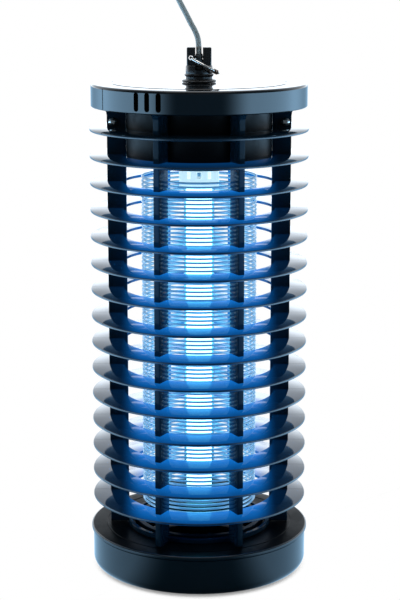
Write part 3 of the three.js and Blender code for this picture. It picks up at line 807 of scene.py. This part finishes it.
def makeDeck():
    d = deckSettings
    bottom = zOf("base_deck", 0) + d["spigotDepth"]
    top = zOf("base_deck", 1)
    r, g = d["radius"], d["groove"]
    spigotBottom = bottom - d["spigotDepth"]
    profile = [(d["opening"], bottom), (d["spigotInner"], bottom), (d["spigotInner"], spigotBottom),
               (d["spigotOuter"], spigotBottom + 0.6), (d["spigotOuter"], bottom), (r - 0.4, bottom),
               (r, bottom + 0.4), (r, top - 1.1), *arc(r - 1.0, top - 1.0, 1.0, 0, 90, 4),
               (g + 0.55, top), (g + 0.25, top - 0.25), (g - 0.25, top - 0.25), (g - 0.55, top),
               (d["opening"] + 0.6, top), (d["opening"], top - 0.6)]
    bm = turned(profile, 144, closed=True)
    for i in range(3):
        spoke = bmesh.new()
        length, width = d["spoke"]
        addBlock(spoke, (length, width, top - bottom - 0.1), (length, 0, (top + bottom) / 2 - 0.05), 0.4)
        turnVerts(spoke, spoke.verts, 90 + 120 * i)
        mergeInto(bm, spoke)
    hub = [(0, bottom), (d["hub"] - 0.3, bottom), (d["hub"], bottom + 0.3), (d["hub"], top - 0.4),
           (d["hub"] - 0.4, top), (0, top)]
    spinProfile(bm, hub, 64)
    deck = finishPiece(asObject("baseDeck", bm), deckBlack, stands=("base_deck",))
    deck.data.materials.append(glossBlack)
    for face in deck.data.polygons:  # only its outer edge is polished
        if math.hypot(face.center.x, face.center.y) * 1000 > d["radius"] - 1.2:
            face.material_index = 1
    return deck


def makeTray():
    t = traySettings
    bottom = zOf("collecting_tray", 0)
    top = zOf("collecting_tray", 1)
    r, w, e = t["radius"], t["wall"], t["round"]
    profile = [(0, bottom + 0.8), (40, bottom + 0.8), (41, bottom), *arc(r - e, bottom + e, e, -90, 0, 10),
               (r, bottom + e + 0.4), (r, top - 0.9), (r, top - 0.5), (r - 0.5, top), (r - w + 0.4, top),
               (r - w, top - 0.4), *arc(r - e, bottom + e, e - w, 0, -90, 8), (0, bottom + w)]
    bm = turned(profile, 144)
    for i in range(3):  # ribs across the tray's floor stop it flexing
        rib = bmesh.new()
        addBlock(rib, (2 * (r - e) - 8, 1.2, 1.6), (0, 0, bottom + w + 0.6), 0.3)
        turnVerts(rib, rib.verts, 60 * i)
        mergeInto(bm, rib)
    tray = asObject("collectingTray", bm)
    return finishPiece(tray, glossBlack, "tray", ("collecting_tray",))


def makeFoot(i):
    low, high = boxOf(f"foot_{i}")
    middle = (low + high) / 2
    top = high.z + 0.9  # runs a little into the tray
    profile = [(0, 0.3), (3.4, 0.3), (3.9, 0.05), (4.3, 0), (5.5, 0), (6, 0.4), (6, top), (0, top)]
    bm = turned(profile, 32)
    moveVerts(bm, bm.verts, (middle.x, middle.y, 0))
    return finishPiece(asObject(f"foot{i}", bm), footRubber, "tray", (f"foot_{i}",))


makeDeck()
makeTray()
for i in (1, 2, 3):
    makeFoot(i)
print("base made")

# cap and ballast housing
capSettings = {"radius": 65, "wall": 2, "ceiling": 2.2, "bore": 6.8, "crown": 0.5, "groove": 53,
               "ventWidth": 3.2, "ventHeight": 11, "ventAngles": (20.8, 27.15, 33.5)}
housingSettings = {"radius": 43.95, "wall": 2, "flange": 62.7, "hole": 14.8}


def makeCap():
    c = capSettings
    bottom = zOf("top_cap", 0)
    top = zOf("top_cap", 1)
    r, w = c["radius"], c["wall"]
    g = c["groove"]
    rim = top - c["crown"]
    under = top - c["ceiling"]
    profile = [(c["bore"], top), (g - 0.9, top), (g - 0.5, top - 0.45), (g + 0.3, top - 0.45),
               (g + 0.6, top - 0.2), (r - 2.2, top - c["crown"] * 0.6),
               *arc(r - 1.6, rim - 1.4, 1.6, 80, 0, 6), (r, rim - 1.7), (r, bottom + 0.8),
               (r, bottom + 0.5), (r - 0.5, bottom), (r - w + 0.3, bottom), (r - w, bottom + 0.3),
               (r - w, under - 0.8), (r - w - 0.8, under), (c["bore"], under)]
    bm = turned(profile, 160, closed=True)
    cap = asObject("topCap", bm)
    tools = []
    half = c["ventWidth"] / 2
    reach = c["ventHeight"] / 2 - half
    middle = (top + bottom) / 2 - 0.2
    for degrees in c["ventAngles"]:
        outline = [(x, z + reach) for x, z in arc(0, 0, half, 0, 180, 8)]
        outline += [(x, z - reach) for x, z in arc(0, 0, half, 180, 360, 8)]
        bm = bmesh.new()
        made = addPlate(bm, outline, 10)
        moveVerts(bm, made, (0, -r, middle))
        turnVerts(bm, made, -degrees)
        tools.append(asObject("tool", bm))
    combine(cap, tools, "DIFFERENCE")
    return finishPiece(cap, capBlack, stands=("top_cap",))


def makeHousing():
    h = housingSettings
    bottom = zOf("ballast_housing", 0)
    top = zOf("ballast_housing", 1)
    shelf = top - 2
    r, w, hole = h["radius"], h["wall"], h["hole"]
    profile = [(hole, bottom + 0.3), (hole + 0.3, bottom), *arc(r - 1.5, bottom + 1.5, 1.5, -90, 0, 5),
               (r, shelf - 1.2), *arc(r + 1.2, shelf - 1.2, 1.2, 180, 90, 4), (h["flange"] - 0.3, shelf),
               (h["flange"], shelf + 0.3), (h["flange"], top), (r - w, top), (r - w, bottom + w),
               (hole, bottom + w)]
    bm = turned(profile, 128, closed=True)
    housing = asObject("ballastHousing", bm)
    return finishPiece(housing, neckBlack, stands=("ballast_housing",))


makeCap()
makeHousing()
print("cap and housing made")


lampShape = {"radius": 7.8, "pinRadius": 1.2, "pinAside": 2.375}
collarProfile = [(0, 0), (5.6, 0), (7.2, 0.3), (7.9, 1.0), (7.9, 4.2), (7.7, 4.5), (7.9, 4.8), (7.9, 6.8),
                 (7.6, 7.0), (0, 7.0)]


def makeLampTube():
    low, high = zOf("lamp_tube", 0), zOf("lamp_tube", 1)
    r = lampShape["radius"]
    profile = [(r - 1.6, low), (r - 0.5, low), (r, low + 0.5), (r, high - 0.5), (r - 0.5, high),
               (r - 1.6, high)]
    bm = turned(profile, 64, closed=True)
    return finishPiece(asObject("lampTube", bm), tubeGlow, stands=("lamp_tube",))


def makeLampEnd(name, node, face, upsideDown=False):
    # a metal collar with two pins, made with its pins down and its outer face at the origin
    s = lampShape
    bm = turned(collarProfile, 56)
    spinProfile(bm, [(0, -0.4), (5.4, -0.4), (5.4, 0.2), (0, 0.2)], 40)
    for side in (-1, 1):
        pin = turned([(0, 0.5), (s["pinRadius"], 0.5), (s["pinRadius"], -6.2), (0.8, -6.9), (0, -7)], 20)
        bmesh.ops.remove_doubles(pin, verts=pin.verts, dist=1e-6)
        moveVerts(pin, pin.verts, (side * s["pinAside"], 0, 0))
        mergeInto(bm, pin)
    if upsideDown:
        turnVerts(bm, bm.verts, 180, "X")
    moveVerts(bm, bm.verts, (0, 0, face))
    return finishPiece(asObject(name, bm), lampCapMetal, stands=(node,))


holderSettings = {"stem": 13, "platform": 30, "thickness": 3, "bore": 8.3, "seat": 10,
                  "pinSlot": (8.2, 3.4, 8), "block": (24, 15), "skirt": 10, "skirtDepth": 20,
                  "windows": ((-6.2, 2.0), (0, 3.2), (6.2, 2.0)), "windowSize": (4, 4.6)}


def makeLowerHolder():
    # a stem with a round platform that screens the lamp's lower end
    h = holderSettings
    bottom, top = zOf("lamp_holder_lower", 0), zOf("lamp_holder_lower", 1)
    stem, under, r = h["stem"], top - h["thickness"], h["platform"]
    profile = [(0, bottom), (stem - 0.4, bottom), (stem, bottom + 0.4), (stem, under - 1.6),
               *arc(stem + 1.6, under - 1.6, 1.6, 180, 90, 5)[1:], (r - 0.5, under), (r, under + 0.5),
               *arc(r - 0.8, top - 0.8, 0.8, 0, 90, 4), (h["bore"] + 1.6, top), (h["bore"], top - 0.9),
               (h["bore"], bottom + h["seat"]), (0, bottom + h["seat"])]
    bm = turned(profile, 96)
    body = asObject("lampHolderLower", bm)
    combine(body, [blockTool(h["pinSlot"], (0, 0, bottom + h["seat"] - 3.5))], "DIFFERENCE")
    return finishPiece(body, insideBlack, stands=("lamp_holder_lower",))


def makeUpperHolder():
    # a block above the tube, with a skirt round the tube's metal end and a window onto each contact
    h = holderSettings
    bottom, top = zOf("lamp_holder_upper", 0), zOf("lamp_holder_upper", 1)
    wide, deep = h["block"]
    skirtBottom, skirtTop = bottom - h["skirt"], zOf("ballast_housing", 0) - 0.3
    bm = bmesh.new()
    addBlock(bm, (wide, deep, top - bottom), (0, 0, (top + bottom) / 2), 0.9, 3)
    body = asObject("lampHolderUpper", bm)
    skirtSize = (wide, h["skirtDepth"], skirtTop - skirtBottom)
    combine(body, [blockTool(skirtSize, (0, 0, (skirtTop + skirtBottom) / 2), 1.2, 3)], "UNION")
    tools = [blockTool(h["pinSlot"], (0, 0, bottom + 3.5)), rodTool(h["bore"], skirtBottom - 1, bottom, 40)]
    for middle, width in h["windows"]:
        place = (middle, -h["skirtDepth"] / 2, bottom - 2.6)
        tools.append(blockTool((width, *h["windowSize"]), place, 0.3, 1))
    combine(body, tools, "DIFFERENCE")
    return finishPiece(body, palePlastic, stands=("lamp_holder_upper",))


makeLampTube()
makeLampEnd("lampEndLower", "lamp_end_lower", zOf("lamp_end_lower", 0) + 7)
makeLampEnd("lampEndUpper", "lamp_end_upper", zOf("lamp_end_upper", 1) - 7, True)
makeLowerHolder()
makeUpperHolder()
print("lamp made")

# wire grid
gridSettings = {"radius": 34.5, "wire": 1.4, "pitch": 2.5, "firstWire": 12.6, "lastWire": 6, "steps": 60,
                "busRadius": 32.2, "bus": (1.2, 2.4), "tab": (0.8, 0.6), "postRadius": 1.6,
                "notchPitch": 5.2}


def makeElectrode(name, node, first, busAngle):
    # every second ring of wire, on an upright strip that stands just inside the rings
    g = gridSettings
    low, high = zOf(node, 0), zOf(node, 1)
    bm = bmesh.new()
    start = low + g["firstWire"]
    count = int((high - g["lastWire"] - start) / g["pitch"])
    heights = [start + i * g["pitch"] for i in range(first, count + 1, 2)]
    for z in heights:
        spinProfile(bm, arc(g["radius"], z, g["wire"] / 2, 0, 360, 6)[:-1], g["steps"], closed=True)
    wires = set(bm.verts)
    thick, wide = g["bus"]
    addBlock(bm, (thick, wide, high - low), (g["busRadius"], 0, (high + low) / 2), 0.2, 1)
    reach, middle = g["radius"] - g["busRadius"], (g["radius"] + g["busRadius"]) / 2
    for z in heights:  # a short tab welds each ring to its strip
        addBlock(bm, (reach, *g["tab"]), (middle, 0, z))
    turnVerts(bm, [v for v in bm.verts if v not in wires], busAngle)
    return finishPiece(asObject(name, bm, 80), gridSteel, stands=(node,))


def makeGridPlate(name, node, width):
    low, high = boxOf(node)
    outer = high.x
    inner = outer - width
    profile = [(inner, low.z + 0.4), (inner + 0.4, low.z), (outer - 0.4, low.z), (outer, low.z + 0.4),
               (outer, high.z - 0.4), (outer - 0.4, high.z), (inner + 0.4, high.z), (inner, high.z - 0.4)]
    bm = turned(profile, 96, closed=True)
    return finishPiece(asObject(name, bm), insideBlack, stands=(node,))


def makeGridPost(i):
    low, high = boxOf(f"grid_post_{i}")
    middle = (low + high) / 2
    r = gridSettings["postRadius"]
    pitch = gridSettings["notchPitch"]
    profile = [(0, low.z)]
    z = low.z
    while z < high.z - 2:
        profile += [(r, z + 0.01), (r, z + pitch * 0.55), (r * 0.82, z + pitch * 0.62),
                    (r * 0.82, z + pitch * 0.92), (r, z + pitch * 0.99)]
        z += pitch
    profile = [p for p in profile if p[1] <= high.z - 0.5]
    profile += [(profile[-1][0], high.z), (0, high.z)]
    bm = turned(profile, 16)
    moveVerts(bm, bm.verts, (middle.x, middle.y, 0))
    return finishPiece(asObject(f"gridPost{i}", bm), insideBlack, stands=(f"grid_post_{i}",))


makeElectrode("gridElectrodeA", "grid_electrode_a", 0, 105)
makeElectrode("gridElectrodeB", "grid_electrode_b", 1, 75)
makeGridPlate("gridPlateLower", "grid_plate_lower", 3.8)
makeGridPlate("gridPlateUpper", "grid_plate_upper", 8)
for i in (1, 2, 3):
    makeGridPost(i)
print("grid made")

# hanger, strain relief and ring
bossSettings = {"flange": 10.3, "barrel": 8, "ridge": 0.8, "barrelHeight": 10.3, "lugWidth": 14.8,
                "lugDepth": 5, "lugHeight": 20.8, "slot": 4.5, "bore": 3.5, "stem": 8,
                "hole": 1.35, "holeAt": (-4.9, 14.6)}


def makeBoss():
    b = bossSettings
    top = zOf("top_cap", 1)
    r, h = b["barrel"], b["barrelHeight"]
    profile = [(0, -b["stem"]), (6.5, -b["stem"]), (6.5, 0.3), (b["flange"] - 0.3, 0.3), (b["flange"], 0.6),
               (b["flange"], 1.2), (b["flange"] - 0.5, 1.6), (r + 0.5, 1.7), (r, 2.2), (r, 3.5),
               (r + b["ridge"] * 0.8, 3.9), (r + b["ridge"], 4.4), (r + b["ridge"] * 0.8, 4.9), (r, 5.3),
               (r, h - 0.8), (r - 0.3, h - 0.25), (r - 0.8, h), (0, h)]
    bm = turned(profile, 64)
    moveVerts(bm, bm.verts, (0, 0, top))
    boss = asObject("hangerBoss", bm)
    lugTall = b["lugHeight"] - h + 1
    lugSize = (b["lugWidth"], b["lugDepth"], lugTall)
    combine(boss, [blockTool(lugSize, (0, 0, top + h - 1 + lugTall / 2), 0.7, 3)], "UNION")
    slot = blockTool((b["slot"], 24, 24), (0, 0, top + h * 0.72 + 12), 0.5)
    bore = rodTool(b["bore"], top - b["stem"] - 1, top + h, 32)
    bm = bmesh.new()
    hole = addRod(bm, b["hole"], -8, 8)
    turnVerts(bm, hole, 90, "X")
    moveVerts(bm, hole, (b["holeAt"][0], 0, top + b["holeAt"][1]))
    combine(boss, [slot, bore, asObject("tool", bm)], "DIFFERENCE")
    return finishPiece(boss, bossBlack, stands=("hanger_boss",))


def makeRelief():
    bottom = zOf("strain_relief", 0)
    top = zOf("top_cap", 1) + 17
    profile = [(0, bottom), (3.1, bottom), (3.1, bottom + 11)]
    z, r = bottom + 11, 3.0
    while z < top - 3:
        profile += [(r, z), (r - 0.06, z + 1.3), (r - 0.5, z + 1.5), (r - 0.5, z + 2.1),
                    (r - 0.12, z + 2.3)]
        z += 2.3
        r -= 0.12
    profile += [(2.05, top - 0.3), (1.85, top), (0, top)]
    bm = turned(profile, 32)
    return finishPiece(asObject("strainRelief", bm), reliefBlack, stands=("strain_relief",))


ringSettings = {"radius": 9.3, "wire": 0.95, "tilt": 28.5, "ferrule": 1.4, "ferruleLength": 3.6,
                "ferruleAngle": -38}


def placeOnPivot(bm):
    x, z = bossSettings["holeAt"]
    place = Matrix.Translation(Vector((x, 0, zOf("top_cap", 1) + z)) / 1000)
    place = place @ Matrix.Rotation(math.radians(ringSettings["tilt"]), 4, "Y")
    place = place @ Matrix.Translation((ringSettings["radius"] / 1000, 0, 0))
    bmesh.ops.transform(bm, matrix=place, verts=bm.verts)


def makeRing():
    r = ringSettings
    bm = turned(arc(r["radius"], 0, r["wire"], 0, 360, 12)[:-1], 96, closed=True)
    placeOnPivot(bm)
    finishPiece(asObject("hangingRing", bm, 60), ringSteel, "ring", ("hanging_ring",))
    # the wire's two ends meet in a crimped sleeve, to one side of the lead
    half, thick = r["ferruleLength"] / 2, r["ferrule"]
    profile = [(0, -half), (thick - 0.3, -half), (thick, -half + 0.3), (thick, -0.5), (thick - 0.2, 0),
               (thick, 0.5), (thick, half - 0.3), (thick - 0.3, half), (0, half)]
    bm = turned(profile, 20)
    turnVerts(bm, bm.verts, 90, "X")
    moveVerts(bm, bm.verts, (r["radius"], 0, 0))
    turnVerts(bm, bm.verts, r["ferruleAngle"])
    placeOnPivot(bm)
    finishPiece(asObject("ringSleeve", bm), ferruleBrown, "ring")


makeBoss()
makeRelief()
makeRing()
print("hanger made")

# the parts inside the cap keep their CAD shape
for node, material in (("circuit_board", boardGreen), ("ballast_choke", darkCan),
                       ("smoothing_capacitor", darkCan), ("hanger_nut", bossBlack)):
    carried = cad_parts[node]
    carried.data.materials.clear()
    carried.data.materials.append(material)

# stage and light
# the floor's settings; one of them is how far the painted contact shadow reaches
stageSettings = {"sideColor": (0.58, 1.0, 1.42), "sideLevel": 3.4, "frontLevel": 0.12, "rearLevel": 0.8,
                 "nearShare": 0.3, "nearReach": (0.1, 0.45), "worldTint": (0.84, 0.92, 1.0),
                 "contactShadowReach": 0.006, "floorSize": 40, "floorDrop": 0.0002}


def sideways(tree, vector):
    # dark in front and dim straight behind, bright to the left and right
    s = stageSettings
    x, y, z = splitXYZ(tree, vector)
    across = fromAxis(tree, x, y)
    facing = mathNode(tree, "DIVIDE", y, mathNode(tree, "MAXIMUM", across, 0.0001))
    fore = ramp(tree, facing, -0.93, -0.55, s["frontLevel"], s["sideLevel"])
    aft = ramp(tree, facing, 0.35, 0.9, 0, s["sideLevel"] - s["rearLevel"])
    return mathNode(tree, "SUBTRACT", fore, aft), across


def paleFloor():
    material = bpy.data.materials.new("paleFloor")
    material.use_nodes = True
    tree = material.node_tree
    tree.nodes.remove(tree.nodes["Principled BSDF"])
    level, across = sideways(tree, objectCoords(tree))
    share = ramp(tree, across, *stageSettings["nearReach"], stageSettings["nearShare"], 1)
    lit = tree.nodes.new("ShaderNodeEmission")
    lit.inputs["Color"].default_value = (*stageSettings["sideColor"], 1)
    tree.links.new(times(tree, level, share), lit.inputs["Strength"])
    # painted contact shadow: where the camera sees the floor, its emission dims close under and beside the
    # object, by ambient occlusion
    contact = tree.nodes.new("ShaderNodeAmbientOcclusion")
    contact.samples = 6
    contact.inputs["Distance"].default_value = stageSettings["contactShadowReach"]
    plain = tree.nodes.new("ShaderNodeEmission")
    tree.links.new(ramp(tree, contact.outputs["AO"], 0.05, 0.45, 0.2, 1.0), plain.inputs["Strength"])
    path = tree.nodes.new("ShaderNodeLightPath")
    pick = tree.nodes.new("ShaderNodeMixShader")
    tree.links.new(path.outputs["Is Camera Ray"], pick.inputs[0])
    tree.links.new(lit.outputs[0], pick.inputs[1])
    tree.links.new(plain.outputs[0], pick.inputs[2])
    tree.links.new(pick.outputs[0], tree.nodes["Material Output"].inputs["Surface"])
    return material


def whiteWorld():
    # plain white where it is seen; what it lights is bright above and behind
    world = bpy.data.worlds.new("studio")
    world.use_nodes = True
    tree = world.node_tree
    x, y, z = splitXYZ(tree, tree.nodes.new("ShaderNodeTexCoord").outputs["Generated"])
    behind = ramp(tree, y, -0.1, 0.75, 0.12, 1.45)
    level = times(tree, behind, ramp(tree, z, 0.06, 0.3, 1.6, 0.85))
    path = tree.nodes.new("ShaderNodeLightPath")
    seen = path.outputs["Is Camera Ray"]
    unseen = mathNode(tree, "SUBTRACT", 1.0, seen)
    strength = mathNode(tree, "ADD", seen, times(tree, unseen, level))
    tree.links.new(strength, tree.nodes["Background"].inputs["Strength"])
    tint = mixColors(tree, seen, stageSettings["worldTint"], (1, 1, 1))
    tree.links.new(tint, tree.nodes["Background"].inputs["Color"])
    return world


def makeStage():
    bm = bmesh.new()
    bmesh.ops.create_grid(bm, x_segments=1, y_segments=1, size=stageSettings["floorSize"])
    floor = asObject("floor", bm)
    floor.location.z = -stageSettings["floorDrop"]
    floor.data.materials.append(paleFloor())
    bpy.context.scene.world = whiteWorld()


def addLight(name, place, target, size, power, mirrored=False):
    data = bpy.data.lights.new(name, "AREA")
    data.shape = "RECTANGLE"
    data.size, data.size_y = size
    data.energy = power
    light = bpy.data.objects.new(name, data)
    light.location = place
    light.rotation_euler = (Vector(target) - Vector(place)).to_track_quat("-Z", "Y").to_euler()
    light.visible_glossy = mirrored
    bpy.context.scene.collection.objects.link(light)


makeStage()
addLight("topSoft", (0, 0.1, 1.6), (0, 0, 0.2), (1.2, 1.2), 7, True)
addLight("sideLeft", (-1.1, -0.5, 0.6), (0, 0, 0.2), (0.4, 0.8), 3)
addLight("sideRight", (1.1, -0.4, 0.6), (0, 0, 0.2), (0.4, 0.8), 3)
bpy.context.scene.view_settings.view_transform = "Standard"
print("stage ready")
